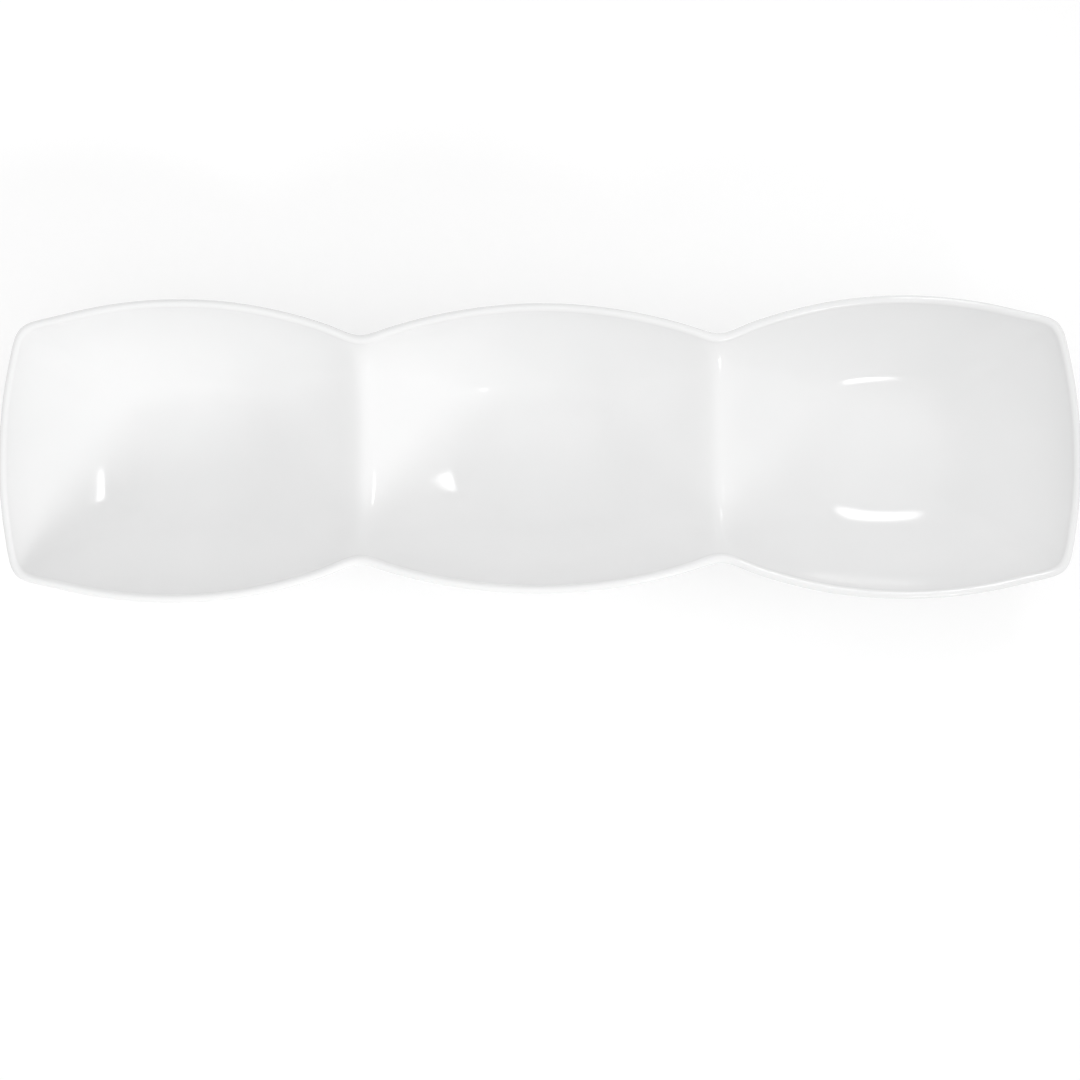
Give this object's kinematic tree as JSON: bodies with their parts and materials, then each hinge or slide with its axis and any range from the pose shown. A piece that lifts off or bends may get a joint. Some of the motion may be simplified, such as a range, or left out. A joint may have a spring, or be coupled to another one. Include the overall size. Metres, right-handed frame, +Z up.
{
  "type": "divided serving bowl",
  "caption": "Long porcelain serving dish with bowls in a row joined by low arched dividers, a wavy rounded rim and a squarish foot ring under each bowl.",
  "frame": {"origin": "on the table plane under the middle of the centre bowl", "axes": "+X along the row of bowls, +Y across the dish, +Z up out of the bowls"},
  "size_m": [0.3808, 0.107, 0.0482],
  "materials": {
    "glaze": "high gloss clear glaze over white porcelain",
    "foot": "glazed sides, bare matte land"
  },
  "bodies": {
    "root": {"left_bowl": "glaze", "centre_bowl": "glaze", "right_bowl": "glaze", "left_divider": "glaze", "right_divider": "glaze", "left_foot_ring": "foot", "centre_foot_ring": "foot", "right_foot_ring": "foot"}
  },
  "joints": []
}
